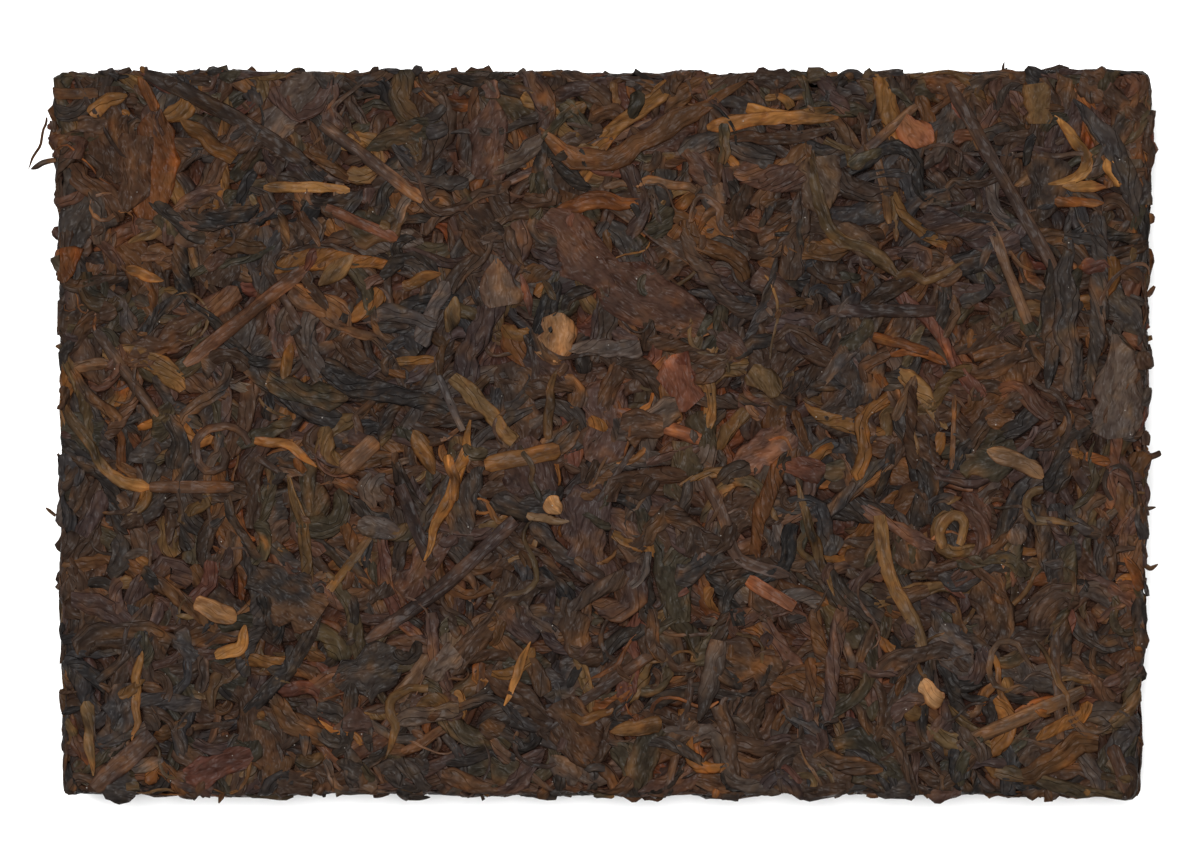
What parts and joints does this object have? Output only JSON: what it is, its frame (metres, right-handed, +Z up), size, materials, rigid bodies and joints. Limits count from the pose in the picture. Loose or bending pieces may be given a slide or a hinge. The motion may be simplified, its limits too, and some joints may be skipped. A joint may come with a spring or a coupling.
{
  "type": "pu erh tea brick",
  "caption": "Rectangular brick of pressed pu erh tea: a flat slab of dark twisted leaf, stems and golden buds with rough edges, resting on its larger face.",
  "frame": {"origin": "middle of the bounding box, on the flat underside", "axes": "+X along the brick's length, +Y across its width, +Z up out of the large pressed face that is seen"},
  "size_m": [0.15, 0.1, 0.022],
  "materials": {
    "pressed_leaf": "dry pressed leaf: mostly dark brown and black-green twisted strips with chestnut stems and ochre buds, matt with a faint sheen"
  },
  "bodies": {
    "root": {"tea_brick": "pressed_leaf"}
  },
  "joints": []
}
